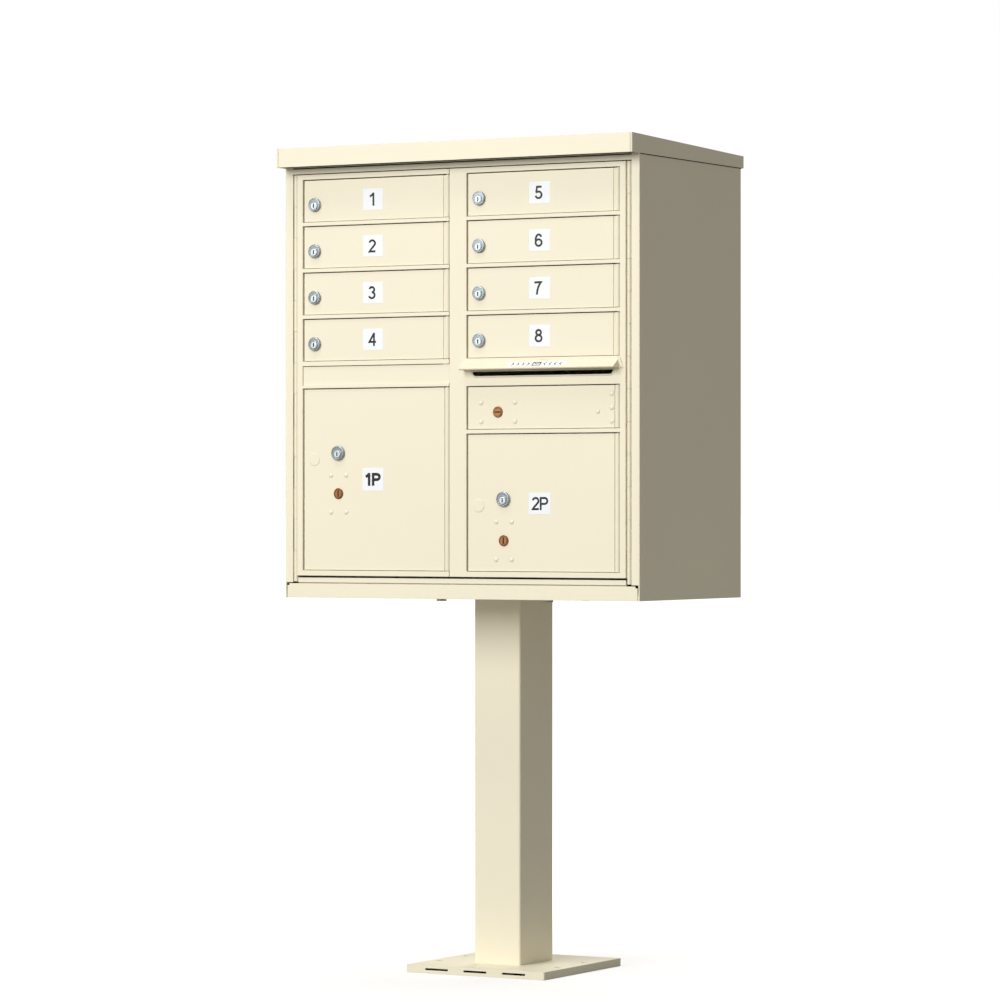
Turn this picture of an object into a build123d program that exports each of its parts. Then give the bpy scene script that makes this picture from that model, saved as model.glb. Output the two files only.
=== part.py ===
"""Cluster mailbox unit on a pedestal: a sheet-metal cabinet with two full-height
master doors, eight small tenant doors, two parcel doors, an outgoing mail slot
with its own door, a pitched roof cap, and a square post on a bolted base pan.

Millimetres, +Z up, the front faces -Y. The origin is on the ground, under the
middle of the overall box.
"""

from build123d import *
import math
import os

os.makedirs("parts", exist_ok=True)

# ---------------------------------------------------------------- overall size
TOTAL_H = 1574.8
SHEET = 2.5

# cabinet
CAB_HALF = 385.0
CAB_FRONT = -200.0
CAB_BACK = 216.5
CAB_LOW = 714.5
CAB_TOP = 1538.7
FLANGE_IN = 368.0
FASCIA_TOP = 741.6
SILL_LOW = 743.6
FASCIA_HALF = 380.5
SILL_HALF = 356.3
SILL_TOP = 752.9
HEADER_LOW = 1526.7
CEILING = 1536.5
FLOOR_LOW = 724.2
FLOOR_TOP = FLOOR_LOW + SHEET

# roof cap
ROOF_HALF = 386.0
ROOF_FRONT = -231.0
ROOF_BACK = 227.0
ROOF_BACK_H = 22.9

# pedestal
BASE_X = 301.0
BASE_Y = 306.0
BASE_H = 15.0
BASE_CY = 14.0
BASE_SHEET = 5.0
ANCHOR_X = 260.0
ANCHOR_Y = 104.0
ANCHOR_R = 7.15
POST_X = 100.5
POST_Y = 130.0
POST_WALL = 4.5
POST_CY = 11.5
PLATE_X = 270.0
PLATE_Y = 190.0
PLATE_LOW = 715.2
PLATE_T = 6.0
GASKET_T = FLOOR_LOW - PLATE_LOW - PLATE_T
STUD_X = 234.0
STUD_Y = 150.0
STUD_R = 6.0

# master doors
FRAME_Y = -202.0
FRAME_BACK = -184.0
FRAME_LOW = 756.6
FRAME_TOP = 1524.8
FRAME_OUT = 356.8
LEFT_EDGE = -19.7
STILE_HALF = 18.2
COL_OUT = 344.8
HINGE_X = 362.3
HINGE_Y = -196.5
KNUCKLE_R = 4.2
LEAF_T = 1.1
HINGE_PIN_R = 1.5
KNUCKLES = 13
KNUCKLE_LOW = 745.0
KNUCKLE_LEN = 60.0

# compartment doors
DOOR_Y = -199.5
DOOR_T = 2.5
DOOR_GAP = 2.2
DOOR_TOP_GAP = 2.0
DOOR_LOW_GAP = 1.0
RETURN_T = 1.6
RETURN_D = 8.0
BARREL_R = 4.6
BARREL_IN = 6.1
GROOVE_END = 4.4
TENANT_GROOVE = 8.6
PARCEL_GROOVE = 6.3
ROD_R = 2.0
ROD_Y = -197.0
PITCH = 88.9
TENANT_TOP = 1515.4
TENANT_H = 81.9
PARCEL_LOW = 766.7
PARCEL1_TOP = 1115.2
PARCEL2_TOP = 1025.7
MAIL_LOW = 1033.1
MAIL_TOP = 1114.9
BLANK_LOW = 1121.0
BLANK_TOP = 1158.0

# mail slot and hood
SLOT_X = (32.0, 330.5)
SLOT_Z = (1133.4, 1141.5)
SLOT_R = 7.0
RIM_W = 2.8
RIM_H = 0.8
HOOD_X = (12.0, 342.0)
HOOD_T = 1.6
HOOD_TOP = 1165.7
HOOD_LIP = 1144.8
HOOD_OUT = -222.0

# locks
LOCK_IN = 26.6
LOCK_DROP = 48.4
LOCK_R = 13.0
PLUG_R = 6.6
PLUG_DROP = 2.0
RUN = 0.05
CAM_Y = -183.4
CAM_T = 2.0
PARCEL_LOCK_IN = 79.4
PARCEL_LOCK_R = 14.0
PARCEL_LOCK_Z = (991.2, 902.5)
ARROW_DROP = 77.7
MAIL_LOCK_IN = 66.8
MAIL_LOCK_Z = 1065.5
ARROW_R = 10.4
ARROW_PLUG_R = 6.8
RIVET_R = 4.8
RIVET_H = 1.7
BOLT_STROKE = 12.0
DRIVE_R = 8.5

# shelves
SHELF_T = 2.0
SHELF_FRONT = -176.0


def save(piece, label):
    """Label a finished piece and write its STEP file."""
    piece.part.label = label
    export_step(piece.part, f"parts/{label}.step")


def slab(x, y, z, mode=Mode.ADD):
    """A rectangular block between pairs of coordinates."""
    centre = ((x[0] + x[1]) / 2, (y[0] + y[1]) / 2, (z[0] + z[1]) / 2)
    with Locations(centre):
        Box(x[1] - x[0], y[1] - y[0], z[1] - z[0], mode=mode)


def rod(x, y, z, radius, mode=Mode.ADD):
    """An upright cylinder at x, y between two heights."""
    with Locations((x, y, (z[0] + z[1]) / 2)):
        Cylinder(radius, z[1] - z[0], mode=mode)


def disc(x, y, z, radius, mode=Mode.ADD):
    """A cylinder lying along Y between two depths."""
    with Locations((x, (y[0] + y[1]) / 2, z)):
        Cylinder(radius, y[1] - y[0], rotation=(90, 0, 0), mode=mode)


def corners(cx, cy, dx, dy):
    """The four corners of a rectangle of hole centres."""
    return [(cx + sx * dx / 2, cy + sy * dy / 2) for sx in (-1, 1) for sy in (-1, 1)]


tenant_windows = [(TENANT_TOP - k * PITCH - TENANT_H, TENANT_TOP - k * PITCH) for k in range(4)]
left_windows = tenant_windows + [(PARCEL_LOW, PARCEL1_TOP)]
right_windows = tenant_windows + [(MAIL_LOW, MAIL_TOP), (PARCEL_LOW, PARCEL2_TOP)]

# ------------------------------------------------------------------- pedestal
base_x = (-BASE_X / 2, BASE_X / 2)
base_y = (BASE_CY - BASE_Y / 2, BASE_CY + BASE_Y / 2)
with BuildPart() as base_pan:
    slab(base_x, base_y, (0, BASE_H))
    fillet(base_pan.edges().filter_by(Axis.Z), 3.0)
    inner_x = (base_x[0] + 4, base_x[1] - 4)
    inner_y = (base_y[0] + 4, base_y[1] - 4)
    slab(inner_x, inner_y, (0, BASE_H - BASE_SHEET), mode=Mode.SUBTRACT)
    for hx, hy in corners(0, BASE_CY - 9, ANCHOR_X, ANCHOR_Y):
        rod(hx, hy, (0, BASE_H), ANCHOR_R, mode=Mode.SUBTRACT)
    for slot_x in (-84.0, 0.0, 84.0):
        slab((slot_x - 25, slot_x + 25), (base_y[0] - 1, base_y[1] + 1), (6.1, 10.0), mode=Mode.SUBTRACT)
save(base_pan, "base_pan")

with BuildPart() as post:
    with BuildSketch(Plane.XY.offset(BASE_H)):
        with Locations((0, POST_CY)):
            RectangleRounded(POST_X, POST_Y, 4)
            RectangleRounded(POST_X - 2 * POST_WALL, POST_Y - 2 * POST_WALL, 1.5, mode=Mode.SUBTRACT)
    extrude(amount=PLATE_LOW - BASE_H)
save(post, "post")

with BuildPart() as post_top_plate:
    with BuildSketch(Plane.XY.offset(PLATE_LOW)):
        with Locations((0, POST_CY)):
            RectangleRounded(PLATE_X, PLATE_Y, 6)
        with Locations(*corners(0, POST_CY, STUD_X, STUD_Y)):
            Circle(STUD_R + 0.6, mode=Mode.SUBTRACT)
    extrude(amount=PLATE_T)
save(post_top_plate, "post_top_plate")

with BuildPart() as post_gasket:
    with BuildSketch(Plane.XY.offset(PLATE_LOW + PLATE_T)):
        with Locations((0, POST_CY)):
            RectangleRounded(PLATE_X, PLATE_Y, 6)
        with Locations(*corners(0, POST_CY, STUD_X, STUD_Y)):
            Circle(STUD_R + 0.6, mode=Mode.SUBTRACT)
    extrude(amount=GASKET_T)
save(post_gasket, "post_gasket")

# hex bolts up through the plate, with a washer and a nut on the cabinet floor
with BuildPart() as pedestal_bolts:
    for bx, by in corners(0, POST_CY, STUD_X, STUD_Y):
        with BuildSketch(Plane.XY.offset(PLATE_LOW - 7.5)):
            with Locations((bx, by)):
                RegularPolygon(9.5, 6, major_radius=False)
        extrude(amount=7.5)
        rod(bx, by, (PLATE_LOW, FLOOR_TOP + 17), STUD_R)
        rod(bx, by, (FLOOR_TOP, FLOOR_TOP + 2.5), 12.0)
        with BuildSketch(Plane.XY.offset(FLOOR_TOP + 2.5)):
            with Locations((bx, by)):
                RegularPolygon(9.5, 6, major_radius=False)
        extrude(amount=10.8)
save(pedestal_bolts, "pedestal_bolts")

# -------------------------------------------------------------------- cabinet
# sides and back bent from one sheet, with a narrow flange down each front edge
with BuildPart() as cabinet_wrap:
    slab((-CAB_HALF, CAB_HALF), (CAB_BACK - SHEET, CAB_BACK), (CAB_LOW, CAB_TOP))
    for side in (-1, 1):
        outer = sorted((side * CAB_HALF, side * (CAB_HALF - SHEET)))
        slab(outer, (CAB_FRONT, CAB_BACK), (CAB_LOW, CAB_TOP))
        lip = sorted((side * CAB_HALF, side * FLANGE_IN))
        slab(lip, (CAB_FRONT, CAB_FRONT + SHEET), (SILL_LOW, CAB_TOP))
    rims = cabinet_wrap.edges().filter_by(Axis.Z).filter_by(
        lambda e: abs(abs(e.center().X) - CAB_HALF) < 0.01 and e.length > 100
    )
    fillet(rims, 1.6)
save(cabinet_wrap, "cabinet_wrap")

# floor sheet with a front fascia, relief notches at its top corners, and a sill
# stood off above it on a folded web
with BuildPart() as cabinet_floor:
    wall = CAB_HALF - SHEET
    slab((-wall, wall), (CAB_FRONT + SHEET, CAB_BACK - SHEET), (FLOOR_LOW, FLOOR_TOP))
    slab((-FASCIA_HALF, FASCIA_HALF), (CAB_FRONT, CAB_FRONT + SHEET), (CAB_LOW, FASCIA_TOP))
    for side in (-1, 1):
        notch = sorted((side * FASCIA_HALF, side * (FASCIA_HALF - 4.5)))
        slab(notch, (CAB_FRONT, CAB_FRONT + SHEET), (FASCIA_TOP - 3.5, FASCIA_TOP), mode=Mode.SUBTRACT)
    slab((-SILL_HALF, SILL_HALF), (-199.5, -197.5), (SILL_LOW, SILL_TOP))
    slab((-SILL_HALF, SILL_HALF), (-197.5, -193.5), (746.5, 748.5))
    slab((-SILL_HALF, SILL_HALF), (-195.5, -193.5), (FLOOR_TOP, 748.5))
    for hx, hy in corners(0, POST_CY, STUD_X, STUD_Y):
        rod(hx, hy, (FLOOR_LOW - 1, FLOOR_TOP + 1), STUD_R + 0.6, mode=Mode.SUBTRACT)
save(cabinet_floor, "cabinet_floor")

# ceiling sheet with the header strip turned down at the front
with BuildPart() as top_panel:
    wall = CAB_HALF - SHEET
    slab((-wall, wall), (CAB_FRONT + SHEET, CAB_BACK - SHEET), (CEILING - 2, CEILING))
    slab((-FLANGE_IN, FLANGE_IN), (CAB_FRONT, CAB_FRONT + SHEET), (HEADER_LOW, CEILING))
save(top_panel, "top_panel")

# hollow roof cap: deep front, shallower back, a rim under it that sits on the cabinet
with BuildPart() as roof_cap:
    with BuildSketch(Plane.YZ.offset(-ROOF_HALF)):
        with BuildLine():
            Polyline(
                (ROOF_FRONT, CAB_TOP),
                (ROOF_FRONT, TOTAL_H),
                (ROOF_BACK, CAB_TOP + ROOF_BACK_H),
                (ROOF_BACK, CAB_TOP),
                close=True,
            )
        make_face()
    extrude(amount=2 * ROOF_HALF)
    fillet(roof_cap.edges().filter_by(Axis.Z), 2.0)
    with BuildSketch(Plane.YZ.offset(-ROOF_HALF + SHEET)):
        with BuildLine():
            Polyline(
                (ROOF_FRONT + SHEET, CAB_TOP + SHEET),
                (ROOF_FRONT + SHEET, TOTAL_H - SHEET - 0.07),
                (ROOF_BACK - SHEET, CAB_TOP + ROOF_BACK_H - SHEET + 0.07),
                (ROOF_BACK - SHEET, CAB_TOP + SHEET),
                close=True,
            )
        make_face()
    extrude(amount=2 * (ROOF_HALF - SHEET), mode=Mode.SUBTRACT)
    rim = (CAB_TOP - 1, CAB_TOP + SHEET + 0.1)
    slab((-362, 362), (-172, 192), rim, mode=Mode.SUBTRACT)
    # the overhang is open underneath, and a folded seam shows near each front corner
    inside = ROOF_HALF - SHEET
    slab((-inside, inside), (ROOF_FRONT + SHEET, CAB_FRONT - 0.5), rim, mode=Mode.SUBTRACT)
    for seam_x in (-382.0, 382.0):
        seam = (seam_x - 0.45, seam_x + 0.45)
        slab(seam, (ROOF_FRONT - 1, ROOF_FRONT + 0.9), (CAB_TOP, TOTAL_H), mode=Mode.SUBTRACT)
save(roof_cap, "roof_cap")

with BuildPart() as centre_partition:
    slab((-1, 1), (SHELF_FRONT, CAB_BACK - SHEET), (FLOOR_TOP, CEILING - 2))
save(centre_partition, "centre_partition")

# one shelf at each rail between compartments
shelf_gap = PITCH - TENANT_H
shelf_heights = [TENANT_TOP - k * PITCH + shelf_gap / 2 for k in range(1, 5)]
with BuildPart() as compartment_shelves:
    wall = CAB_HALF - SHEET
    for z in shelf_heights:
        slab((-wall, -1), (SHELF_FRONT, CAB_BACK - SHEET), (z - SHELF_T / 2, z + SHELF_T / 2))
    for z in shelf_heights + [(MAIL_LOW + PARCEL2_TOP) / 2]:
        slab((1, wall), (SHELF_FRONT, CAB_BACK - SHEET), (z - SHELF_T / 2, z + SHELF_T / 2))
save(compartment_shelves, "compartment_shelves")

# ---------------------------------------------------------- piano hinges
knuckle_spans = []
for n in range(KNUCKLES):
    low = KNUCKLE_LOW + n * KNUCKLE_LEN + 0.2
    knuckle_spans.append((low, low + KNUCKLE_LEN - 0.4))
hinge_top = KNUCKLE_LOW + KNUCKLES * KNUCKLE_LEN

# even knuckles belong to the cabinet's leaf, odd ones to the master door's leaf
with BuildPart() as master_hinge_leaves:
    for side in (-1, 1):
        axis_x = side * HINGE_X
        leaf = sorted((side * 380.0, side * 369.0))
        slab(leaf, (-197.4, -194.2), (KNUCKLE_LOW + 0.2, hinge_top - 0.2))
        for span in knuckle_spans[0::2]:
            tab = sorted((side * 369.0, axis_x))
            slab(tab, (-195.7, -194.2), span)
            rod(axis_x, HINGE_Y, span, KNUCKLE_R)
        rod(axis_x, HINGE_Y, (KNUCKLE_LOW, hinge_top), HINGE_PIN_R, mode=Mode.SUBTRACT)
    for side in (-1, 1):
        rod(side * HINGE_X, HINGE_Y, (KNUCKLE_LOW + 0.2, hinge_top - 0.2), HINGE_PIN_R)
save(master_hinge_leaves, "master_hinge_leaves")


def master_leaf(side):
    """The moving half of a piano hinge, bent back along the frame's edge."""
    axis_x = side * HINGE_X
    with BuildPart() as leaf:
        edge = sorted((side * FRAME_OUT, side * (FRAME_OUT + LEAF_T)))
        slab(edge, (-196.4, FRAME_BACK), (FRAME_LOW + 0.4, hinge_top - 0.2))
        for span in knuckle_spans[1::2]:
            tab = sorted((side * (FRAME_OUT + LEAF_T), axis_x))
            slab(tab, (-196.4, -194.9), span)
            rod(axis_x, HINGE_Y, span, KNUCKLE_R)
        for span in knuckle_spans[1::2]:
            rod(axis_x, HINGE_Y, (span[0] - 1, span[1] + 1), HINGE_PIN_R + RUN, mode=Mode.SUBTRACT)
    return leaf


save(master_leaf(-1), "left_master_leaf")
save(master_leaf(1), "right_master_leaf")


# ---------------------------------------------------------- master door frames
def cut_column(left, right, windows, rod_x):
    """Windows for one column of doors, with a set-back strip behind the hinge barrels."""
    inner = right - 12.0
    for low, high in windows:
        slab((left, inner), (FRAME_Y - 1, FRAME_BACK + 1), (low, high), mode=Mode.SUBTRACT)
        slab((inner - 1, right), (FRAME_Y - 1, -191.5), (low, high), mode=Mode.SUBTRACT)
    rod(rod_x, ROD_Y, (FRAME_LOW + 1.0, FRAME_TOP - 1.0), ROD_R, mode=Mode.SUBTRACT)


def hollow_rails(left, right, rails):
    """Folded rails: the back of each one is open."""
    for low, high in rails:
        if high - low > 7:
            inside = (low + 1.8, high - 1.8)
            slab((left - 0.2, right - 13.8), (FRAME_Y + 2, FRAME_BACK + 1), inside, mode=Mode.SUBTRACT)


def rails_between(windows):
    """The heights of the rails above, between and below a column's windows."""
    ordered = sorted(windows)
    edges = [FRAME_LOW] + [z for pair in ordered for z in pair] + [FRAME_TOP]
    return [(edges[n], edges[n + 1]) for n in range(0, len(edges), 2)]


left_rod_x = LEFT_EDGE + 1.2 - BARREL_IN
right_rod_x = COL_OUT - BARREL_IN
with BuildPart() as left_master_frame:
    slab((-FRAME_OUT, LEFT_EDGE), (FRAME_Y, FRAME_BACK), (FRAME_LOW, FRAME_TOP))
    cut_column(-COL_OUT, LEFT_EDGE, left_windows, left_rod_x)
    stile_in = (-FRAME_OUT + 1.8, -COL_OUT - 1.8)
    slab(stile_in, (FRAME_Y + 2, FRAME_BACK + 1), (FRAME_LOW + 1.8, FRAME_TOP - 1.8), mode=Mode.SUBTRACT)
    hollow_rails(-COL_OUT, LEFT_EDGE, rails_between(left_windows))
    # blank panel below the lowest tenant door, set back like the doors
    slab((-COL_OUT, LEFT_EDGE), (FRAME_Y - 1, DOOR_Y), (BLANK_LOW, BLANK_TOP), mode=Mode.SUBTRACT)
    slab((-COL_OUT - 0.6, LEFT_EDGE - 13), (DOOR_Y, DOOR_Y + 2), (BLANK_LOW - 1, BLANK_TOP + 1))
    slit = (-COL_OUT, LEFT_EDGE - 13)
    slab(slit, (DOOR_Y - 1, DOOR_Y + 3), (BLANK_TOP - 1.2, BLANK_TOP), mode=Mode.SUBTRACT)
save(left_master_frame, "left_master_frame")

with BuildPart() as right_master_frame:
    slab((-STILE_HALF, FRAME_OUT), (FRAME_Y, FRAME_BACK), (FRAME_LOW, FRAME_TOP))
    cut_column(STILE_HALF, COL_OUT, right_windows, right_rod_x)
    frame_z = (FRAME_LOW + 1.8, FRAME_TOP - 1.8)
    slab((COL_OUT + 1.8, FRAME_OUT - 1.8), (FRAME_Y + 2, FRAME_BACK + 1), frame_z, mode=Mode.SUBTRACT)
    slab((-STILE_HALF + 2, STILE_HALF - 2), (FRAME_Y + 2, FRAME_BACK + 1), frame_z, mode=Mode.SUBTRACT)
    hollow_rails(STILE_HALF, COL_OUT, rails_between(right_windows))
    # block that carries the pivot of the master latch
    slab((-12, 12), (FRAME_Y + 1, FRAME_BACK), (1083, 1107))
    disc(0, (FRAME_Y + 6, FRAME_BACK + 1), 1095, 4.0 + RUN, mode=Mode.SUBTRACT)
    # mail slot with round lower corners, and a raised rim round it
    slot_mid = ((SLOT_X[0] + SLOT_X[1]) / 2, (SLOT_Z[0] + SLOT_Z[1]) / 2)
    for grow in (RIM_W, 0.0):
        with BuildSketch(Plane.XZ.offset(-FRAME_Y + (RIM_H if grow else 1))) as slot_outline:
            with Locations(slot_mid):
                Rectangle(SLOT_X[1] - SLOT_X[0] + 2 * grow, SLOT_Z[1] - SLOT_Z[0] + 2 * grow)
            lower = slot_outline.vertices().group_by(Axis.Y)[0]
            fillet(lower, SLOT_R + grow)
        if grow:
            extrude(amount=-RIM_H - 0.5)
        else:
            extrude(amount=-20, mode=Mode.SUBTRACT)
save(right_master_frame, "right_master_frame")

# hinge rods of the two door columns
for label, x in (("left_door_rod", left_rod_x), ("right_door_rod", right_rod_x)):
    with BuildPart() as door_rod:
        rod(x, ROD_Y, (FRAME_LOW + 1.0, FRAME_TOP - 1.0), ROD_R)
    save(door_rod, label)

# hood over the mail slot: an upright flange, a slope and a small turned lip, closed at
# both ends by cheeks with outward flanges
hood_outer = [
    (FRAME_Y, HOOD_TOP),
    (FRAME_Y - HOOD_T, HOOD_TOP),
    (FRAME_Y - HOOD_T, 1160.4),
    (HOOD_OUT, 1147.3),
    (HOOD_OUT, 1146.6),
    (HOOD_OUT + 1.4, HOOD_LIP),
]
hood_inner = [
    (HOOD_OUT + 3.0, HOOD_LIP),
    (HOOD_OUT + 3.0, 1147.4),
    (FRAME_Y - HOOD_T, 1158.6),
    (FRAME_Y - HOOD_T, 1151.0),
    (FRAME_Y, 1151.0),
]
with BuildPart() as mail_hood:
    with BuildSketch(Plane.YZ.offset(HOOD_X[0])):
        with BuildLine():
            Polyline(*hood_outer, *hood_inner, close=True)
        make_face()
    extrude(amount=HOOD_X[1] - HOOD_X[0])
    for end in (HOOD_X[0], HOOD_X[1] - HOOD_T):
        with BuildSketch(Plane.YZ.offset(end)):
            with BuildLine():
                Polyline(*hood_outer, (FRAME_Y, HOOD_LIP), close=True)
            make_face()
        extrude(amount=HOOD_T)
    for inner, top, low in ((HOOD_X[0], 8.8, 1.5), (HOOD_X[1], 345.2, 352.5)):
        with BuildSketch(Plane.XZ.offset(-FRAME_Y)):
            with BuildLine():
                Polyline((inner, 1164.0), (top, 1164.0), (low, 1145.7), (inner, 1145.7), close=True)
            make_face()
        extrude(amount=HOOD_T)
    for rivet_x in (181.0, 190.0):
        disc(rivet_x, (FRAME_Y - HOOD_T - 0.9, FRAME_Y - HOOD_T), 1163.0, 1.7)
save(mail_hood, "mail_hood")

# lever behind the centre stile that ties the left master door to the right one
with BuildPart() as master_latch_lever:
    slab((-8, 8), (-183.6, -180.6), (1045, 1095))
    disc(0, (-183.6, -180.6), 1095, 11.0)
    disc(0, (FRAME_Y + 6.5, -183.6), 1095, 4.0)
    fillet(master_latch_lever.edges().filter_by(Axis.Y).group_by(Axis.Z)[0], 5)
save(master_latch_lever, "master_latch_lever")


# ---------------------------------------------------------- compartment doors
def door(left, rod_x, low, high, groove, lock_holes, small_holes):
    """A pan door: flat face, three returned edges and a rolled hinge barrel at the right."""
    edge = left + DOOR_GAP
    z = (low + DOOR_LOW_GAP, high - DOOR_TOP_GAP)
    back = DOOR_Y + DOOR_T
    with BuildPart() as pan:
        slab((edge, rod_x), (DOOR_Y, back), z)
        slab((edge, edge + RETURN_T), (DOOR_Y, DOOR_Y + RETURN_D), z)
        for top in (z[0] + RETURN_T, z[1]):
            slab((edge, rod_x - 12), (DOOR_Y, DOOR_Y + RETURN_D), (top - RETURN_T, top))
        fillet(pan.edges().filter_by(Axis.Z).sort_by(Axis.X)[:2].sort_by(Axis.Y)[:1], 1.0)
        rod(rod_x, ROD_Y, z, BARREL_R)
        step = (rod_x - groove, rod_x - GROOVE_END)
        slab(step, (DOOR_Y - 1, DOOR_Y + 1.4), z, mode=Mode.SUBTRACT)
        rod(rod_x, ROD_Y, (z[0] - 1, z[1] + 1), ROD_R + 0.08, mode=Mode.SUBTRACT)
        for hx, hz, hr in lock_holes + small_holes:
            disc(hx, (DOOR_Y - 1, back + 1), hz, hr, mode=Mode.SUBTRACT)
    return pan


def lock_housing(x, z, flange_r):
    """A cam lock's body: a thick head with a shallow groove, a hex nut and a threaded barrel.

    The plug's bore sits low in the head, because the pins stand above it.
    """
    with BuildPart() as body:
        disc(x, (DOOR_Y - 5.0, DOOR_Y), z, flange_r)
        fillet(body.edges().filter_by(GeomType.CIRCLE).group_by(Axis.Y)[0], 1.4)
        disc(x, (DOOR_Y - 6, DOOR_Y - 4.5), z, flange_r - 2.6, mode=Mode.SUBTRACT)
        disc(x, (DOOR_Y - 5.6, DOOR_Y - 4.0), z - PLUG_DROP, PLUG_R + 1.6)
        chamfer(body.edges().filter_by(GeomType.CIRCLE).group_by(Axis.Y)[0], 0.5)
        disc(x, (DOOR_Y, -185.6), z, 9.4)
        with BuildSketch(Plane.XZ.offset(-(DOOR_Y + DOOR_T))):
            with Locations((x, z)):
                RegularPolygon(11.5, 6, major_radius=False)
        extrude(amount=-4.0)
        disc(x, (DOOR_Y - 8, -180), z - PLUG_DROP, PLUG_R + RUN, mode=Mode.SUBTRACT)
    return body


def lock_plug(x, z, reach, cam_up):
    """A key plug with its keyway, and the cam on its tail."""
    z = z - PLUG_DROP
    with BuildPart() as plug:
        disc(x, (DOOR_Y - 6.1, -185.3), z, PLUG_R)
        chamfer(plug.edges().filter_by(GeomType.CIRCLE).group_by(Axis.Y)[0], 0.5)
        disc(x, (-185.3, CAM_Y + CAM_T + 1.6), z, 4.5)
        end = sorted((z, z + cam_up * reach))
        slab((x - 6, x + 6), (CAM_Y, CAM_Y + CAM_T), end)
        disc(x, (CAM_Y, CAM_Y + CAM_T), z, 7.5)
        slab((x - 0.7, x + 0.7), (DOOR_Y - 8, DOOR_Y - 3.6), (z - 4.2, z + 4.2), mode=Mode.SUBTRACT)
    return plug


number = 0
for left, rod_x in ((-COL_OUT, left_rod_x), (STILE_HALF, right_rod_x)):
    for low, high in tenant_windows:
        number += 1
        lock_x = left + LOCK_IN
        lock_z = high - LOCK_DROP
        tenant_door = door(left, rod_x, low, high, TENANT_GROOVE, [(lock_x, lock_z, 9.45)], [])
        save(tenant_door, f"tenant_door_{number}")
        save(lock_housing(lock_x, lock_z, LOCK_R), f"tenant_lock_{number}")
        save(lock_plug(lock_x, lock_z, 31.0, 1), f"tenant_plug_{number}")


# ---------------------------------------------------------- bolt locks
def rivet_spots(x, z, wide, tall):
    """Rivet centres around a bolt lock."""
    return [(rx, rz, 2.0) for rx, rz in corners(x, z, wide, tall)]


def rivet(x, z, tail):
    """A domed rivet set through the door, turned about its own axis."""
    dome = RIVET_R * math.sin(math.radians(45))
    with BuildSketch(Plane.XY.offset(z)) as dome_half:
        with BuildLine():
            Line((x, DOOR_Y), (x, DOOR_Y - RIVET_H))
            ThreePointArc(
                (x, DOOR_Y - RIVET_H),
                (x + dome, DOOR_Y - RIVET_H * 0.52),
                (x + RIVET_R, DOOR_Y),
            )
            Line((x + RIVET_R, DOOR_Y), (x, DOOR_Y))
        make_face()
    revolve(dome_half.sketch, axis=Axis((x, 0, z), (0, 1, 0)), revolution_arc=360)
    disc(x, (DOOR_Y, tail), z, 2.0)
    disc(x, (tail, tail + 1.2), z, 3.4)


def bolt_lock(x, z, wide, tall, more_rivets):
    """Brass cylinder in a riveted plate, with lugs that guide the sliding bolt."""
    back = DOOR_Y + DOOR_T
    plate_x = (x - wide / 2 - 6, x + wide / 2 + 6)
    plate_z = (z - tall / 2 - 6, z + tall / 2 + 6)
    with BuildPart() as lock:
        slab(plate_x, (back, back + 1.5), plate_z)
        disc(x, (DOOR_Y - 1.6, -190.0), z, ARROW_R)
        chamfer(lock.edges().filter_by(GeomType.CIRCLE).group_by(Axis.Y)[0], 0.8)
        for side in (-1, 1):
            near = sorted((z + side * 8.2, z + side * 11.2))
            for lug_x in (x - 20.0, x + 13.6):
                slab((lug_x, lug_x + 6), (back + 1.5, -178.6), near)
        for lug_x in (x - 20.0, x + 13.6):
            slab((lug_x, lug_x + 6), (-180.2, -178.6), (z - 11.2, z + 11.2))
        disc(x, (DOOR_Y - 8, -180), z, ARROW_PLUG_R + RUN, mode=Mode.SUBTRACT)
        for rx, rz, rr in rivet_spots(x, z, wide, tall):
            disc(rx, (back - 1, back + 2), rz, rr + RUN, mode=Mode.SUBTRACT)
        for rx, rz, rr in rivet_spots(x, z, wide, tall):
            rivet(rx, rz, back + 1.5 + RUN)
        for rx, rz, rr in more_rivets:
            rivet(rx, rz, back + RUN)
    return lock


def bolt_plug(x, z, slot_upright):
    """A plug with a drive pin that stands off its centre, set back by half the throw."""
    pin_x = x + DRIVE_R * math.sin(math.radians(45))
    pin_z = z + DRIVE_R * math.cos(math.radians(45))
    with BuildPart() as plug:
        disc(x, (DOOR_Y - 1.9, -189.7), z, ARROW_PLUG_R)
        disc(x, (-189.7, -186.0), z, 11.4)
        disc(pin_x, (-186.0, -181.0), pin_z, 2.2)
        key = (0.8, 4.4) if slot_upright else (4.4, 0.8)
        key_x = (x - key[0], x + key[0])
        key_z = (z - key[1], z + key[1])
        slab(key_x, (DOOR_Y - 3, DOOR_Y - 0.2), key_z, mode=Mode.SUBTRACT)
    return plug


def slide_bolt(x, z, left):
    """A flat bolt with an open notch for the drive pin; its tip stops short of the frame."""
    pin_x = x + DRIVE_R * math.sin(math.radians(45))
    with BuildPart() as bolt:
        slab((left + 2.5, x + 26), (-183.5, -180.5), (z - 8, z + 8))
        slab((pin_x - 2.7, pin_x + 2.7), (-184, -180), (z + 3.2, z + 9), mode=Mode.SUBTRACT)
    return bolt


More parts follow.
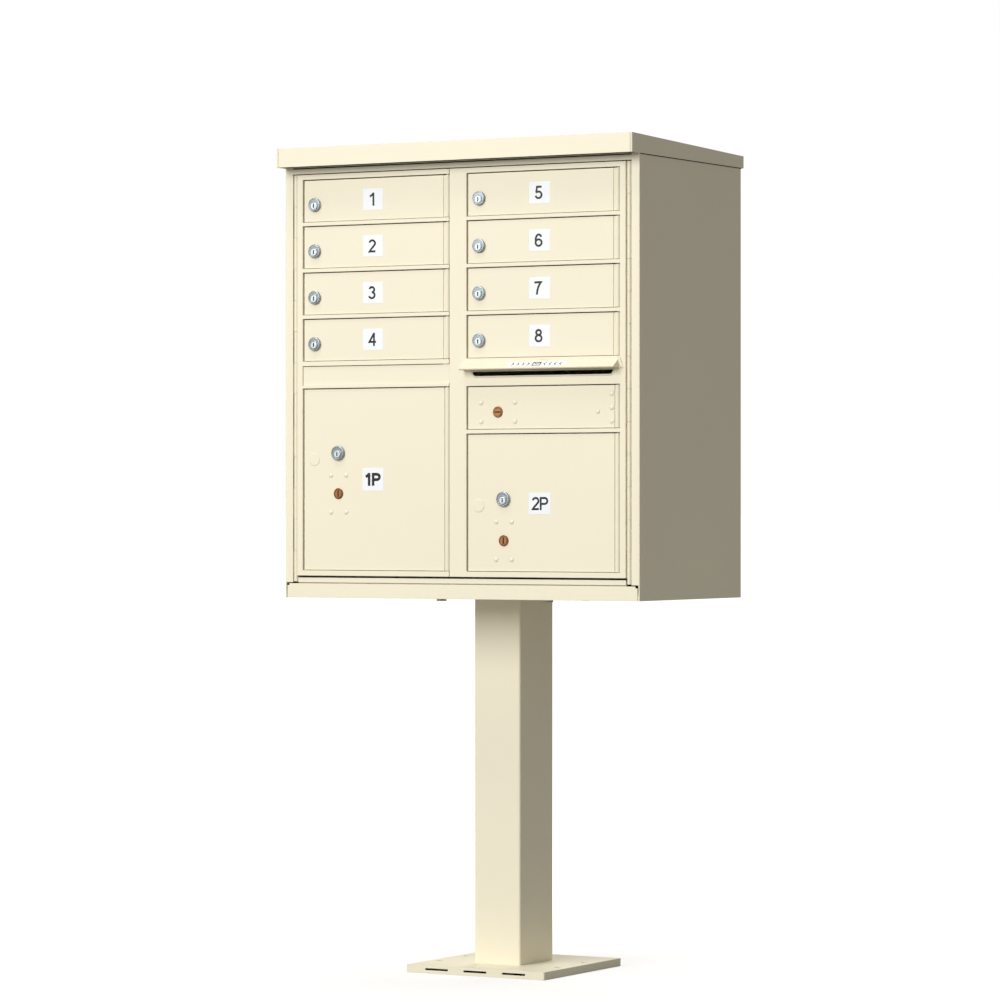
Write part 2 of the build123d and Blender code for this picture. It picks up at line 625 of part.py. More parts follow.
for n, (left, rod_x, top) in enumerate(
    ((-COL_OUT, left_rod_x, PARCEL1_TOP), (STILE_HALF, right_rod_x, PARCEL2_TOP)), start=1
):
    lock_x = left + PARCEL_LOCK_IN
    lock_z = PARCEL_LOCK_Z[n - 1]
    bolt_z = lock_z - ARROW_DROP
    spots = rivet_spots(lock_x, bolt_z, 33.6, 70.6)
    round_holes = [(lock_x, lock_z, 9.45), (lock_x, bolt_z, ARROW_R + RUN)]
    parcel_door = door(left, rod_x, PARCEL_LOW, top, PARCEL_GROOVE, round_holes, spots)
    with BuildPart() as plugged_door:
        add(parcel_door.part)
        # pressed cap over the unused lock hole
        disc(left + 25.4, (DOOR_Y - 0.8, DOOR_Y + 0.5), lock_z - 12.0, 12.0)
        rim = plugged_door.edges().filter_by(GeomType.CIRCLE).filter_by(lambda e: abs(e.radius - 12.0) < 0.01)
        chamfer(rim.group_by(Axis.Y)[0], 0.6)
    save(plugged_door, f"parcel_door_{n}")
    save(lock_housing(lock_x, lock_z, PARCEL_LOCK_R), f"parcel_lock_{n}")
    save(lock_plug(lock_x, lock_z, 84.0, 1), f"parcel_plug_{n}")
    save(bolt_lock(lock_x, bolt_z, 33.6, 70.6, []), f"parcel_bolt_lock_{n}")
    save(bolt_plug(lock_x, bolt_z, True), f"parcel_bolt_plug_{n}")
    save(slide_bolt(lock_x, bolt_z, left), f"parcel_slide_bolt_{n}")

# door of the outgoing mail compartment, with rivets along its hinge side
mail_lock_x = STILE_HALF + MAIL_LOCK_IN
spots = rivet_spots(mail_lock_x, MAIL_LOCK_Z, 72.6, 35.6)
hinge_rivets = [(297.2, 1064.5, 2.0), (326.4, 1097.5, 2.0), (326.4, 1071.5, 2.0), (326.4, 1046.3, 2.0)]
mail_hole = [(mail_lock_x, MAIL_LOCK_Z, ARROW_R + RUN)]
mail_rivets = spots + hinge_rivets
outgoing = door(STILE_HALF, right_rod_x, MAIL_LOW, MAIL_TOP, PARCEL_GROOVE, mail_hole, mail_rivets)
save(outgoing, "outgoing_door")
save(bolt_lock(mail_lock_x, MAIL_LOCK_Z, 72.6, 35.6, hinge_rivets), "outgoing_bolt_lock")
save(bolt_plug(mail_lock_x, MAIL_LOCK_Z, False), "outgoing_bolt_plug")
save(slide_bolt(mail_lock_x, MAIL_LOCK_Z, STILE_HALF), "outgoing_slide_bolt")
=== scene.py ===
"""Cluster mailbox unit: looks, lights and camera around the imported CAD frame."""
import math

import bmesh
import bpy
from mathutils import Matrix, Vector


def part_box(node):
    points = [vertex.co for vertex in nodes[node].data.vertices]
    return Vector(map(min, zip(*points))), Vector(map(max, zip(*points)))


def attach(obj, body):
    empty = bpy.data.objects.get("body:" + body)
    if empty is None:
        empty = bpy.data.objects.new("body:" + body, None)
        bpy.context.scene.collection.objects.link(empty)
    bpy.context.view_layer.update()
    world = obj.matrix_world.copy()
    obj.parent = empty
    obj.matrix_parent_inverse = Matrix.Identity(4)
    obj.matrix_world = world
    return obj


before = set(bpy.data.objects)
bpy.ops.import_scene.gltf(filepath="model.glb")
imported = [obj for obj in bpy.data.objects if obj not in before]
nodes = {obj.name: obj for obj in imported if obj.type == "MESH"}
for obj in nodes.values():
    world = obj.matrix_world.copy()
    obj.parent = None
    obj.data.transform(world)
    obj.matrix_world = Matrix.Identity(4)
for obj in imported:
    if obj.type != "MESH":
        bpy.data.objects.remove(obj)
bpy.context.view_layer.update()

MM = 0.001


# ------------------------------------------------------------------ shader helpers
BEVEL_SAMPLES = 6
MIX_FACTOR, MIX_A, MIX_B, MIX_COLOUR = 0, 6, 7, 2  # sockets of a Mix node set to colours


class Graph:
    """A material made by short calls that take sockets, numbers or colours and give sockets."""

    def __init__(self, name):
        self.mat = bpy.data.materials.new(name)
        self.mat.use_nodes = True
        self.tree = self.mat.node_tree
        self.tree.nodes.clear()
        self.bsdf = self.add("ShaderNodeBsdfPrincipled")
        output = self.add("ShaderNodeOutputMaterial")
        self.feed(output.inputs["Surface"], self.bsdf.outputs["BSDF"])
        self.place = self.add("ShaderNodeTexCoord").outputs["Object"]

    def add(self, kind, **settings):
        node = self.tree.nodes.new(kind)
        for key, value in settings.items():
            setattr(node, key, value)
        return node

    def feed(self, socket, value):
        """Links an output socket, or sets a plain number or colour."""
        if isinstance(value, bpy.types.NodeSocket):
            self.tree.links.new(value, socket)
        elif socket.type == "RGBA":
            socket.default_value = (*value, 1.0)
        else:
            socket.default_value = value

    def surface(self, values):
        for name, value in values.items():
            self.feed(self.bsdf.inputs[name], value)

    def noise(self, scale, detail=2.0, rough=0.5, stretch=None):
        n = self.add("ShaderNodeTexNoise")
        place = self.place
        if stretch:
            mapping = self.add("ShaderNodeMapping")
            self.feed(mapping.inputs["Vector"], place)
            self.feed(mapping.inputs["Scale"], stretch)
            place = mapping.outputs["Vector"]
        values = {"Vector": place, "Scale": scale, "Detail": detail, "Roughness": rough}
        for name, value in values.items():
            self.feed(n.inputs[name], value)
        return n.outputs["Fac"]

    def ramp(self, value, low, high, a, b):
        """Maps value from low..high to a..b."""
        r = self.add("ShaderNodeMapRange")
        names = ("Value", "From Min", "From Max", "To Min", "To Max")
        for name, entry in zip(names, (value, low, high, a, b)):
            self.feed(r.inputs[name], entry)
        return r.outputs["Result"]

    def mix(self, factor, a, b):
        m = self.add("ShaderNodeMix", data_type="RGBA")
        for socket, entry in ((MIX_FACTOR, factor), (MIX_A, a), (MIX_B, b)):
            self.feed(m.inputs[socket], entry)
        return m.outputs[MIX_COLOUR]

    def calc(self, operation, a, b):
        m = self.add("ShaderNodeMath", operation=operation)
        self.feed(m.inputs[0], a)
        self.feed(m.inputs[1], b)
        return m.outputs["Value"]

    def split(self):
        """The object coordinates X, Y and Z."""
        sep = self.add("ShaderNodeSeparateXYZ")
        self.feed(sep.inputs["Vector"], self.place)
        return sep.outputs

    def inside_box(self, low, high):
        """1 inside a box of object coordinates, 0 outside."""
        spot = self.split()
        mask = 1.0
        for axis, a, b in zip("XYZ", low, high):
            over = self.calc("GREATER_THAN", spot[axis], a)
            under = self.calc("LESS_THAN", spot[axis], b)
            mask = self.calc("MULTIPLY", mask, self.calc("MULTIPLY", over, under))
        return mask

    def bump(self, height, strength, distance, normal=None):
        b = self.add("ShaderNodeBump")
        self.feed(b.inputs["Strength"], strength)
        self.feed(b.inputs["Distance"], distance)
        self.feed(b.inputs["Height"], height)
        if normal is not None:
            self.feed(b.inputs["Normal"], normal)
        return b.outputs["Normal"]

    def rounded(self, radius):
        """The normal of the surface with its edges rounded."""
        bevel = self.add("ShaderNodeBevel", samples=BEVEL_SAMPLES)
        self.feed(bevel.inputs["Radius"], radius)
        return bevel.outputs["Normal"]

    def edge_mask(self, rounded, low, high):
        """0 on flat faces, 1 on sharp edges."""
        dot = self.add("ShaderNodeVectorMath", operation="DOT_PRODUCT")
        self.feed(dot.inputs[0], rounded)
        self.feed(dot.inputs[1], self.add("ShaderNodeNewGeometry").outputs["Normal"])
        return self.ramp(dot.outputs["Value"], high, low, 0.0, 1.0)

    def brush(self, noise_range, rough_range, radius=0.5 * MM, scratch=0.15, stretch=None):
        """Fine brushing that varies the roughness, with rounded edges."""
        lines = self.noise(1500.0, 3.0, 0.7, stretch)
        self.surface({
            "Roughness": self.ramp(lines, *noise_range, *rough_range),
            "Normal": self.bump(lines, scratch, 0.05 * MM, self.rounded(radius)),
        })


def tint(colour, k):
    return tuple(min(1.0, c * k) for c in colour)


# ------------------------------------------------------------------ looks
CREAM = (0.872, 0.818, 0.650)
BRASS = (0.36, 0.165, 0.07)
BRASS_DARK = (0.22, 0.10, 0.045)
BRASS_SLOT_SHADE = (0.02, 0.009, 0.005)
# the plating colour is darker than bare chrome: a painted dark reflection, with tarnish in its
# darker tone
PLATING = (0.37, 0.42, 0.45)
PLATING_DARK = (0.29, 0.33, 0.36)
PLUG_FACE = (0.80, 0.87, 0.92)
PLUG_SLOT_SHADE = (0.035, 0.045, 0.055)
ZINC = (0.55, 0.56, 0.56)
ZINC_DARK = (0.42, 0.43, 0.42)
ZINC_LOCK = (0.50, 0.51, 0.51)
GASKET_AND_SHADE_STRIP_BLACK = (0.035, 0.034, 0.033)
GASKET_AND_SHADE_STRIP_DEEP = (0.012, 0.012, 0.012)
SLOT_RIM_SHADE = (0.70, 0.66, 0.57)
CAP_HOLLOW_SHADE = (0.035, 0.032, 0.026)

LOCK_RADIUS = 10.7 * MM  # the rivets lie outside it
RIVET_PLANE = -0.1985  # the rivets' heads stand in front of it
LUG_PLANE = -0.1955  # the guiding lugs lie behind it


def powder_coat(name, colour, rough, grain=1.0, edge=1.1 * MM, patch=None):
    """Fine orange-peel powder coat: speckle, broad tone drift, thin edges lightened as a painted
    highlight.

    A patch is the two corners of a box, and the colour inside it.
    """
    g = Graph(name)
    drift = g.ramp(g.noise(3.2, 3.0), 0.3, 0.7, 0.0, 1.0)
    tone = g.mix(drift, tint(colour, 0.985), tint(colour, 1.012))
    speckle = g.ramp(g.noise(900.0, 1.0), 0.62, 0.75, 0.0, 0.16)
    dotted = g.mix(speckle, tone, tint(colour, 0.82))
    rounded = g.rounded(edge)
    # painted highlight: the colour is lightened along the rounded edges
    edge_highlight = g.calc("MULTIPLY", g.edge_mask(rounded, 0.80, 0.985), 0.35)
    final = g.mix(edge_highlight, dotted, tint(colour, 1.05))
    # a patch paints a box of the surface in its colour; the patches below paint shade there, the
    # slot rim's in part
    if patch:
        low, high, shade = patch
        final = g.mix(g.inside_box(low, high), final, shade)
    peel = g.bump(g.noise(520.0, 2.0, 0.45), 0.10 * grain, 0.4 * MM, rounded)
    g.surface({
        "Base Color": final,
        "Roughness": g.ramp(g.noise(46.0, 3.0), 0.25, 0.75, rough - 0.05, rough + 0.06),
        "Normal": g.bump(g.noise(2600.0, 2.0, 0.6), 0.12 * grain, 0.12 * MM, peel),
        "Specular IOR Level": 0.30,
        "Coat Weight": 0.03,
        "Coat Roughness": 0.28,
    })
    return g.mat


def worn_metal(name, colour, dark, rough, scratch=0.2, stretch=None):
    """Plated or cast metal with fine brushing and faint tarnish."""
    g = Graph(name)
    tarnish = g.ramp(g.noise(60.0, 4.0, 0.6), 0.35, 0.75, 0.0, 1.0)
    g.surface({"Base Color": g.mix(tarnish, colour, dark), "Metallic": 1.0})
    g.brush((0.3, 0.75), (rough - 0.06, rough + 0.12), scratch=scratch, stretch=stretch)
    return g.mat


# black rubber for the post gasket, also the black strip of painted shade under the roof cap
def rubber(name):
    g = Graph(name)
    n = g.noise(700.0, 3.0)
    g.surface({
        "Base Color": g.mix(n, GASKET_AND_SHADE_STRIP_DEEP, GASKET_AND_SHADE_STRIP_BLACK),
        "Roughness": g.ramp(n, 0.2, 0.8, 0.6, 0.85),
        "Normal": g.bump(n, 0.25, 0.2 * MM),
    })
    return g.mat


def sticker(name, colour):
    """Matt vinyl with a faint grain and slightly greyed patches."""
    g = Graph(name)
    n = g.noise(35.0, 4.0)
    g.surface({
        "Base Color": g.mix(g.ramp(n, 0.35, 0.7, 0.0, 1.0), colour, tint(colour, 0.95)),
        "Roughness": g.ramp(n, 0.3, 0.7, 0.33, 0.45),
        "Normal": g.bump(g.noise(2200.0, 2.0), 0.08, 0.1 * MM),
    })
    return g.mat


def riveted_lock(name, x, z):
    """Brass cylinder and back plate, body paint on the rivets' heads, zinc lugs."""
    g = Graph(name)
    spot = g.split()
    dx = g.calc("SUBTRACT", spot["X"], x)
    dz = g.calc("SUBTRACT", spot["Z"], z)
    square = g.calc("ADD", g.calc("MULTIPLY", dx, dx), g.calc("MULTIPLY", dz, dz))
    around = g.calc("GREATER_THAN", square, LOCK_RADIUS ** 2)
    painted = g.calc("MULTIPLY", around, g.calc("LESS_THAN", spot["Y"], RIVET_PLANE))
    brass = g.mix(g.noise(90.0, 4.0, 0.6), BRASS, BRASS_DARK)
    body = g.mix(g.calc("GREATER_THAN", spot["Y"], LUG_PLANE), brass, ZINC_LOCK)
    g.surface({
        "Base Color": g.mix(painted, body, CREAM),
        "Metallic": g.calc("SUBTRACT", 1.0, painted),
    })
    g.brush((0.3, 0.7), (0.24, 0.40), radius=0.7 * MM)
    return g.mat


def keyed_plug(name, x, z, half_width, half_height, colour, dark, metal, rough):
    """A plug face with its key slot painted near-black: painted shade for the slot's opening."""
    g = Graph(name)
    face = g.mix(g.noise(120.0, 3.0, 0.6), colour, tint(colour, 0.86))
    slot = g.inside_box((x - half_width, -1.0, z - half_height),
                        (x + half_width, 1.0, z + half_height))
    g.surface({
        "Base Color": g.mix(slot, face, dark),
        "Metallic": g.ramp(slot, 0.0, 1.0, metal, 0.0),
    })
    g.brush((0.3, 0.75), (rough - 0.05, rough + 0.10))
    return g.mat


paint = powder_coat("cream_powder_coat", CREAM, 0.42)
paint_door = powder_coat("cream_powder_coat_doors", tint(CREAM, 0.992), 0.40)
paint_inner = powder_coat("cream_powder_coat_inside", tint(CREAM, 0.97), 0.5)
# the raised rim around the mail slot: the neutral grey of its trim, darkened as painted shade of
# the hood above it
slot_rim = ((0.0285, -0.204, 1.1300), (0.3340, -0.2022, 1.1448), SLOT_RIM_SHADE)
paint_slot = powder_coat("cream_powder_coat_slot_rim", CREAM, 0.42, patch=slot_rim)
# the hollow inside the roof cap's front edge, within its sheet, painted near-black as shade
cap_low, cap_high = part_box("roof_cap")
CAP_SHEET, CAP_TOP_SHEET, CAP_HOLLOW_BACK = 1.2 * MM, 1.8 * MM, -0.200
cap_hollow = (cap_low + Vector((CAP_SHEET, CAP_SHEET, CAP_SHEET)),
              (cap_high.x - CAP_SHEET, CAP_HOLLOW_BACK, cap_high.z - CAP_TOP_SHEET),
              CAP_HOLLOW_SHADE)
paint_cap = powder_coat("cream_powder_coat_cap", CREAM, 0.42, patch=cap_hollow)
paint_hinge = powder_coat("cream_hinge_coat", CREAM, 0.36, grain=0.6, edge=0.7 * MM)
plating = worn_metal("lock_plating_painted_dark_reflection", PLATING, PLATING_DARK, 0.30)
steel = worn_metal("zinc_hardware", ZINC, ZINC_DARK, 0.34, scratch=0.3, stretch=(1, 1, 6))
gasket_and_shade_strip_look = rubber("gasket_and_painted_shade_strip_black")
label_white = sticker("label_white", (0.90, 0.93, 0.97))
label_ink = sticker("label_ink", (0.003, 0.003, 0.004))


# ------------------------------------------------------------------ CAD materials
SLOT_HALF_WIDTH = 1.3 * MM
KEY_SLOT_HALF_HEIGHT = 3.8 * MM
BRASS_SLOT_HALF_HEIGHT = 6.2 * MM
FACE_DEPTH = 1.5 * MM


def assign(name, mat):
    mesh = nodes[name].data
    mesh.materials.clear()
    mesh.materials.append(mat)


def centre_of_face(name):
    """Middle, in x and z, of the foremost part of a node, where a plug's round face is."""
    points = [v.co for v in nodes[name].data.vertices]
    front = min(p.y for p in points)
    face = [p for p in points if p.y < front + FACE_DEPTH]
    xs, zs = [p.x for p in face], [p.z for p in face]
    return (min(xs) + max(xs)) / 2, (min(zs) + max(zs)) / 2


for mat, names in (
        (paint, "base_pan post post_top_plate cabinet_wrap cabinet_floor top_panel"),
        (paint, "left_master_frame mail_hood"),
        (paint_slot, "right_master_frame"),
        (paint_cap, "roof_cap"),
        (paint_inner, "centre_partition compartment_shelves"),
        (paint_hinge, "master_hinge_leaves left_master_leaf right_master_leaf"),
        (steel, "pedestal_bolts left_door_rod right_door_rod master_latch_lever"),
        (gasket_and_shade_strip_look, "post_gasket")):
    for name in names.split():
        assign(name, mat)

for name in list(nodes):
    if name.startswith(("tenant_door", "parcel_door", "outgoing_door")):
        assign(name, paint_door)
    elif name.startswith(("tenant_lock", "parcel_lock")):
        assign(name, plating)
    elif name.startswith(("tenant_plug", "parcel_plug")):
        assign(name, keyed_plug(name + "_face", *centre_of_face(name), SLOT_HALF_WIDTH,
                                KEY_SLOT_HALF_HEIGHT, PLUG_FACE, PLUG_SLOT_SHADE, 0.35, 0.30))
    elif "slide_bolt" in name:
        assign(name, steel)
    elif "bolt_plug" in name:
        half = (SLOT_HALF_WIDTH, BRASS_SLOT_HALF_HEIGHT)
        if name.startswith("outgoing"):  # its slot lies level
            half = half[::-1]
        x, z = centre_of_face(name)
        assign(name, keyed_plug(name + "_face", x, z, *half, tint(BRASS, 1.25), BRASS_SLOT_SHADE,
                                0.75, 0.32))
        lock = name.replace("bolt_plug", "bolt_lock")
        assign(lock, riveted_lock(lock + "_brass_and_paint", x, z))


# ------------------------------------------------------------------ labels
RIM_STEPS = 6  # per rounded corner
RIM_SOFT = 0.35 * MM
LABEL_THICK = 0.28 * MM
LABEL_RADIUS = 1.2 * MM
INK_THICK = 0.08 * MM
INK_LAYER = 0.002 * MM  # keeps crossing strokes off each other's faces
MITRE_LIMIT = 0.45
ARC_STEP = 9  # degrees


def mesh_piece(name, bm, mat, body):
    """Turns bm into a piece of that name that rides on a body."""
    mesh = bpy.data.meshes.new(name)
    bm.to_mesh(mesh)
    bm.free()
    mesh.materials.append(mat)
    obj = bpy.data.objects.new(name, mesh)
    bpy.context.scene.collection.objects.link(obj)
    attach(obj, body)


def rounded_plate(name, width, height, radius, thick, place, mat, body):
    """A thin label with rounded corners and a softened rim, facing its local +Z."""
    ring = []
    for cx, cy, start in ((1, 1, 0), (-1, 1, 90), (-1, -1, 180), (1, -1, 270)):
        for step in range(RIM_STEPS + 1):
            a = math.radians(start + step * 90 / RIM_STEPS)
            ring.append((cx * (width / 2 - radius) + radius * math.cos(a),
                         cy * (height / 2 - radius) + radius * math.sin(a)))
    bm = bmesh.new()
    levels = ((1.0, 0.0), (1.0, thick * 0.6), (1.0 - RIM_SOFT / (width / 2), thick))
    rows = [[bm.verts.new((x * k, y * k, z)) for x, y in ring] for k, z in levels]
    for a, b in zip(rows, rows[1:]):
        for i in range(len(ring)):
            j = (i + 1) % len(ring)
            bm.faces.new((a[i], a[j], b[j], b[i]))
    bm.faces.new(rows[-1])
    bm.faces.new(list(reversed(rows[0])))
    bmesh.ops.transform(bm, matrix=place, verts=bm.verts)
    mesh_piece(name, bm, mat, body)


def bow(cx, cy, rx, ry, start, end):
    """Points along part of an ellipse, from one angle to another in degrees."""
    count = max(2, int(abs(end - start) / ARC_STEP))
    turns = [math.radians(start + (end - start) * k / count) for k in range(count + 1)]
    return [(cx + rx * math.cos(t), cy + ry * math.sin(t)) for t in turns]


# stroke widths, as a share of the character's height
THIN = 0.125
REGULAR = 0.16
BOLD = 0.225
ADVANCE = 0.70
# centre lines of plain upright characters, one unit tall, set out for THIN strokes
GLYPHS = {
    "1": ([(0.40, 0), (0.40, 1)], [(0.09, 0.725), (0.22, 0.79), (0.31, 0.865), (0.375, 0.96)]),
    "2": (bow(0.32, 0.71, 0.25, 0.2275, 170, -28)
          + [(0.40, 0.43), (0.20, 0.23), (0.085, 0.0625), (0.60, 0.0625)],),
    "3": (bow(0.30, 0.735, 0.215, 0.2025, 165, -90), bow(0.30, 0.2965, 0.25, 0.234, 90, -165)),
    "4": ([(0.455, 0), (0.455, 1)], [(0.44, 0.95), (0.055, 0.30), (0.63, 0.30)]),
    "5": ([(0.57, 0.9375), (0.185, 0.9375), (0.115, 0.50)],
          bow(0.31, 0.315, 0.26, 0.2525, 142, -165)),
    "6": (bow(0.325, 0.3125, 0.2575, 0.25, 0, 360), bow(0.335, 0.50, 0.2675, 0.4375, 185, 35)),
    "7": ([(0.04, 0.9375), (0.59, 0.9375), (0.46, 0.76), (0.36, 0.54), (0.285, 0.28), (0.25, 0)],),
    "8": (bow(0.32, 0.75, 0.205, 0.1875, 0, 360), bow(0.32, 0.30, 0.2575, 0.2375, 0, 360)),
    "P": ([(0.0625, 0), (0.0625, 1)],
          [(0.0625, 0.9375), (0.38, 0.9375)] + bow(0.40, 0.705, 0.235, 0.2325, 85, -85)
          + [(0.38, 0.4725), (0.0625, 0.4725)]),
}


def ribbon(bm, points, width, low, high):
    """A flat bar of even width along a line of points."""
    points = [Vector(p) for p in points]
    rows = []
    for k, p in enumerate(points):
        ways = []
        if k:
            ways.append((p - points[k - 1]).normalized())
        if k < len(points) - 1:
            ways.append((points[k + 1] - p).normalized())
        way = sum(ways, Vector((0, 0))).normalized()
        out = Vector((-way.y, way.x))
        reach = width / 2 / max(MITRE_LIMIT, way.dot(ways[0]))
        left, right = p + out * reach, p - out * reach
        rows.append([bm.verts.new((q.x, q.y, z)) for z in (low, high) for q in (left, right)])
    for a, b in zip(rows, rows[1:]):
        for i, j in ((0, 1), (1, 3), (3, 2), (2, 0)):
            bm.faces.new((a[i], a[j], b[j], b[i]))
    for row in (rows[0], rows[-1]):
        bm.faces.new((row[0], row[1], row[3], row[2]))


def numeral(name, text, height, weight, place, mat, body):
    """Printed characters as a very thin raised mesh, centred on place."""
    bm = bmesh.new()
    squeeze = (1 - weight) / (1 - THIN)
    level = 0
    for k, letter in enumerate(text):
        for line in GLYPHS[letter]:
            path = []
            for x, y in line:
                if 0 < y < 1:
                    y = weight / 2 + (y - THIN / 2) * squeeze
                path.append(((x + k * ADVANCE) * height, y * height))
            low = INK_LAYER * level
            ribbon(bm, path, weight * height, low, low + INK_THICK)
            level += 1
    xs = [v.co.x for v in bm.verts]
    shift = Matrix.Translation((-(max(xs) + min(xs)) / 2, -height / 2, 0))
    bmesh.ops.recalc_face_normals(bm, faces=bm.faces)
    bmesh.ops.transform(bm, matrix=place @ shift, verts=bm.verts)
    mesh_piece(name, bm, mat, body)


def facing_front(x, y, z):
    """Local XY becomes the front face's XZ, and local +Z points at the viewer."""
    return Matrix.Translation((x, y, z)) @ Matrix.Rotation(math.radians(90), 4, "X")


COLUMNS = (-0.3448, 0.0182)  # left edges of the two columns of doors
LABEL_IN = 0.1564  # from a column's left edge to its labels' middle
LABEL_DOWN = 0.0399  # from a tenant door's top edge to its label's middle
DOOR_FACE = -0.1995
INK_FACE = DOOR_FACE - 0.3 * MM
TENANT_LABEL = (44.5 * MM, 40.5 * MM)
TENANT_INK = 25.0 * MM
TENANT_INK_SHIFT = -2.3 * MM
PARCEL_INK = 24.6 * MM

for number in range(1, 9):
    x = COLUMNS[(number - 1) // 4] + LABEL_IN
    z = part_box(f"tenant_door_{number}")[1].z - LABEL_DOWN
    body = f"tenant_door_{number}"
    rounded_plate(f"label_{number}", *TENANT_LABEL, LABEL_RADIUS, LABEL_THICK,
                  facing_front(x, DOOR_FACE, z), label_white, body)
    numeral(f"numeral_{number}", str(number), TENANT_INK, REGULAR,
            facing_front(x + TENANT_INK_SHIFT, INK_FACE, z), label_ink, body)
for number, z, label, weight in ((1, 0.9406, (46.5 * MM, 43.5 * MM), BOLD),
                                 (2, 0.8943, (46.5 * MM, 40.5 * MM), REGULAR)):
    x = COLUMNS[number - 1] + LABEL_IN
    body = f"parcel_door_{number}"
    rounded_plate(f"parcel_label_{number}", *label, LABEL_RADIUS, LABEL_THICK,
                  facing_front(x, DOOR_FACE, z), label_white, body)
    numeral(f"parcel_numeral_{number}", f"{number}P", PARCEL_INK, weight,
            facing_front(x, INK_FACE, z), label_ink, body)


# ------------------------------------------------------------------ hood label
STROKE_THICK = 0.05 * MM
HOOD_X = 0.1755
HOOD_TOP = Vector((-0.2036, 1.1604))  # y and z of the slope's two ends
HOOD_LOW = Vector((-0.2220, 1.1473))
MARK_LIFT = 0.26 * MM


def stroke(bm, a, b, width, z):
    """A flat bar between two points of the label."""
    a, b = Vector(a), Vector(b)
    side = Vector((-(b - a).y, (b - a).x)).normalized() * width / 2
    along = (b - a).normalized() * width / 2
    points = (a - along - side, b + along - side, b + along + side, a - along + side)
    bottom = [bm.verts.new((p.x, p.y, z)) for p in points]
    top = [bm.verts.new((p.x, p.y, z + STROKE_THICK)) for p in points]
    bm.faces.new(top)
    bm.faces.new(list(reversed(bottom)))
    for i in range(4):
        j = (i + 1) % 4
        bm.faces.new((bottom[i], bottom[j], top[j], top[i]))


slope = HOOD_TOP - HOOD_LOW
middle = (HOOD_TOP + HOOD_LOW) / 2
hood_place = (Matrix.Translation((HOOD_X, middle.x, middle.y))
              @ Matrix.Rotation(math.atan2(slope.y, slope.x), 4, "X"))
rounded_plate("hood_label", 127 * MM, 13 * MM, 0.8 * MM, 0.25 * MM, hood_place, label_white,
              "right_master")

# an envelope between two rows of arrows that point at it
bm = bmesh.new()
w, h, fold = 8.0 * MM, 4.8 * MM, -0.6 * MM
for a, b in (((-w, -h), (w, -h)), ((w, -h), (w, h)), ((w, h), (-w, h)), ((-w, h), (-w, -h)),
             ((-w, h), (0, fold)), ((0, fold), (w, h))):
    stroke(bm, a, b, 1.8 * MM, MARK_LIFT)
ARROWS, ARROW_START, ARROW_PITCH, ARROW_BACK, ARROW_HALF = 4, 16, 11, 3.0, 3.6  # in mm
ARROW_STROKE = 1.9 * MM
for side in (-1, 1):
    for k in range(ARROWS):
        tip = side * (ARROW_START + k * ARROW_PITCH) * MM
        back = tip + side * ARROW_BACK * MM
        stroke(bm, (back, ARROW_HALF * MM), (tip, 0), ARROW_STROKE, MARK_LIFT)
        stroke(bm, (tip, 0), (back, -ARROW_HALF * MM), ARROW_STROKE, MARK_LIFT)
bmesh.ops.transform(bm, matrix=hood_place, verts=bm.verts)
mesh_piece("hood_mark", bm, label_ink, "right_master")


# ------------------------------------------------------------------ roof joint shade strip
# a black strip in the joint between the cabinet and its roof cap, at the sides and back: painted
# shade for the dark line under the cap's edge
wrap_low, wrap_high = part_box("cabinet_wrap")
SHADE_STRIP_OUT, SHADE_STRIP_IN, SHADE_STRIP_TALL = 0.8 * MM, 0.5 * MM, 1.5 * MM
side_y = (wrap_low.y + 2 * MM, wrap_high.y + SHADE_STRIP_OUT)
bm = bmesh.new()
for (x0, x1), (y0, y1) in (
        ((wrap_high.x - SHADE_STRIP_IN, wrap_high.x + SHADE_STRIP_OUT), side_y),
        ((wrap_low.x - SHADE_STRIP_OUT, wrap_low.x + SHADE_STRIP_IN), side_y),
        ((wrap_low.x, wrap_high.x), (wrap_high.y - SHADE_STRIP_IN, wrap_high.y + SHADE_STRIP_OUT))):
    size = Matrix.Diagonal((x1 - x0, y1 - y0, SHADE_STRIP_TALL, 1.0))
    centre = ((x0 + x1) / 2, (y0 + y1) / 2, wrap_high.z - SHADE_STRIP_TALL / 2)
    bmesh.ops.create_cube(bm, size=1.0, matrix=Matrix.Translation(centre) @ size)
mesh_piece("roof_joint_painted_shade", bm, gasket_and_shade_strip_look, "cabinet")


# ------------------------------------------------------------------ floor
PAN_LOW, PAN_HIGH = (-0.1500, -0.1385, -1.0), (0.1500, 0.1665, 1.0)
floor_mesh = bpy.data.meshes.new("floor")
corners = [(-300, -60, 0), (300, -60, 0), (300, 600, 0), (-300, 600, 0)]
floor_mesh.from_pydata(corners, [], [(0, 1, 2, 3)])
floor = bpy.data.objects.new("floor", floor_mesh)
bpy.context.scene.collection.objects.link(floor)
g = Graph("pale_floor")
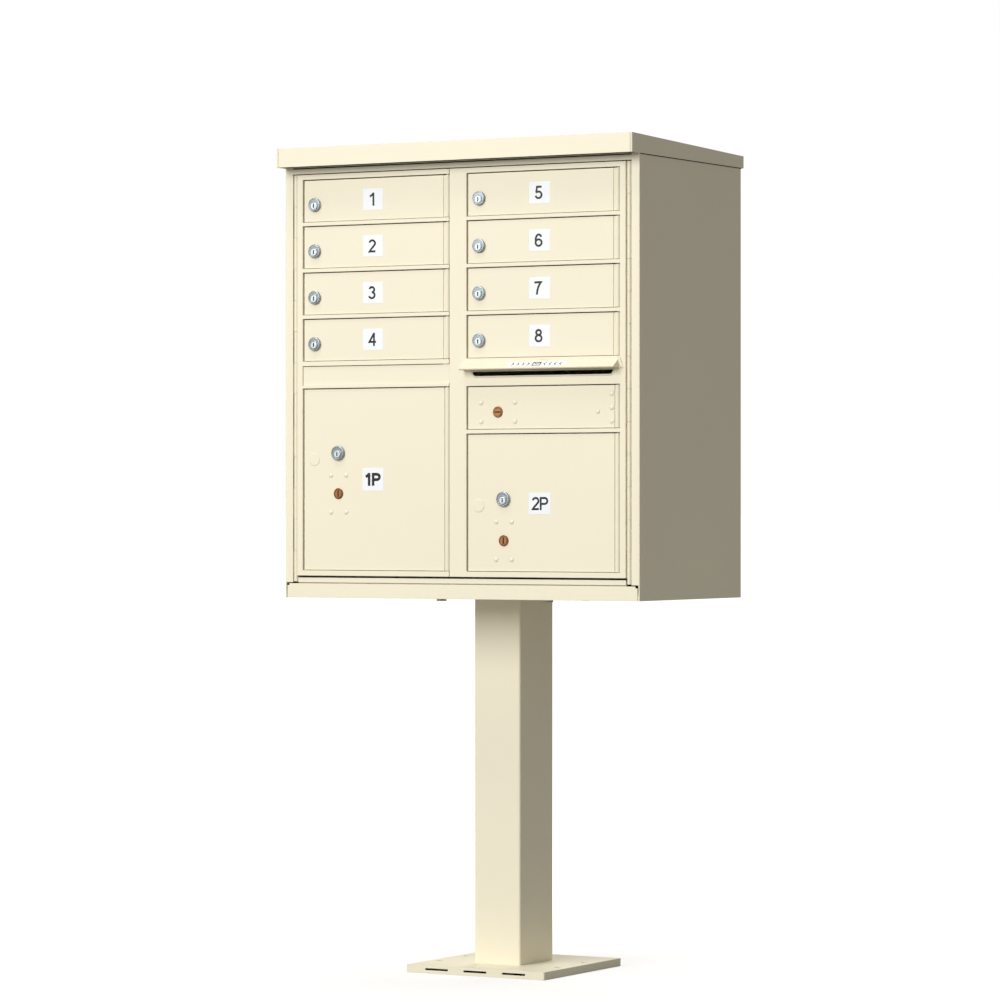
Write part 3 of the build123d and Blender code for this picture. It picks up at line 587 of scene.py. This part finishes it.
# to the camera the floor glows white away from the post; the glow is weaker near the post, a
# painted shade that greys the floor round the base, and off under the base pan, where the floor
# shows only its real shade
reach = g.add("ShaderNodeVectorMath", operation="LENGTH")
g.feed(reach.inputs[0], g.place)
glow = g.ramp(reach.outputs["Value"], 0.22, 1.3, 0.66, 1.0)
clear = g.calc("SUBTRACT", 1.0, g.inside_box(PAN_LOW, PAN_HIGH))
seen = g.add("ShaderNodeLightPath").outputs["Is Camera Ray"]
g.surface({
    "Base Color": g.mix(g.noise(1.5, 3.0), (0.32, 0.31, 0.29), (0.34, 0.33, 0.31)),
    "Emission Color": (1.0, 1.0, 1.0),
    "Emission Strength": g.calc("MULTIPLY", g.calc("MULTIPLY", glow, clear), seen),
    "Roughness": 0.75,
    "Specular IOR Level": 0.15,
})
floor_mesh.materials.append(g.mat)


# ------------------------------------------------------------------ lights and world
def softbox(name, place, aim, width, height, power, colour):
    light = bpy.data.lights.new(name, "AREA")
    light.shape = "RECTANGLE"
    light.size = width
    light.size_y = height
    light.energy = power
    light.color = colour
    obj = bpy.data.objects.new(name, light)
    obj.location = place
    obj.rotation_euler = (Vector(aim) - Vector(place)).to_track_quat("-Z", "Y").to_euler()
    bpy.context.scene.collection.objects.link(obj)


softbox("key", (-1.95, -8.75, 4.90), (0, 0, 0.7), 6.4, 6.0, 755, (1.0, 0.995, 0.98))
softbox("top", (-0.70, -2.28, 7.48), (0, 0, 0.9), 1.6, 1.6, 100, (1.0, 0.99, 0.96))
softbox("back", (-1.2, 3.2, 6.0), (0, 0, 0.1), 2.0, 2.0, 200, (1.0, 0.99, 0.97))

# the world is white to the camera, and dimmer and warmer as a light
world = bpy.data.worlds.new("studio")
bpy.context.scene.world = world
world.use_nodes = True
tree = world.node_tree
tree.nodes.clear()
output = tree.nodes.new("ShaderNodeOutputWorld")
choice = tree.nodes.new("ShaderNodeMixShader")
ray = tree.nodes.new("ShaderNodeLightPath")
tree.links.new(ray.outputs["Is Camera Ray"], choice.inputs[0])
for socket, colour, strength in ((1, (1.0, 0.98, 0.94, 1), 0.33), (2, (1, 1, 1, 1), 1.0)):
    background = tree.nodes.new("ShaderNodeBackground")
    background.inputs["Color"].default_value = colour
    background.inputs["Strength"].default_value = strength
    tree.links.new(background.outputs[0], choice.inputs[socket])
tree.links.new(choice.outputs[0], output.inputs["Surface"])
bpy.context.scene.view_settings.view_transform = "Standard"


# ------------------------------------------------------------------ camera
camera = bpy.data.cameras.new("camera")
camera.lens = 158.79
camera.sensor_width = 36.0
camera.clip_end = 2000.0
cam = bpy.data.objects.new("camera", camera)
cam.location = (4.17205, -7.36862, 0.88373)
cam.rotation_euler = (math.radians(90.12), 0.0, math.radians(29.66))
bpy.context.scene.collection.objects.link(cam)
bpy.context.scene.camera = cam
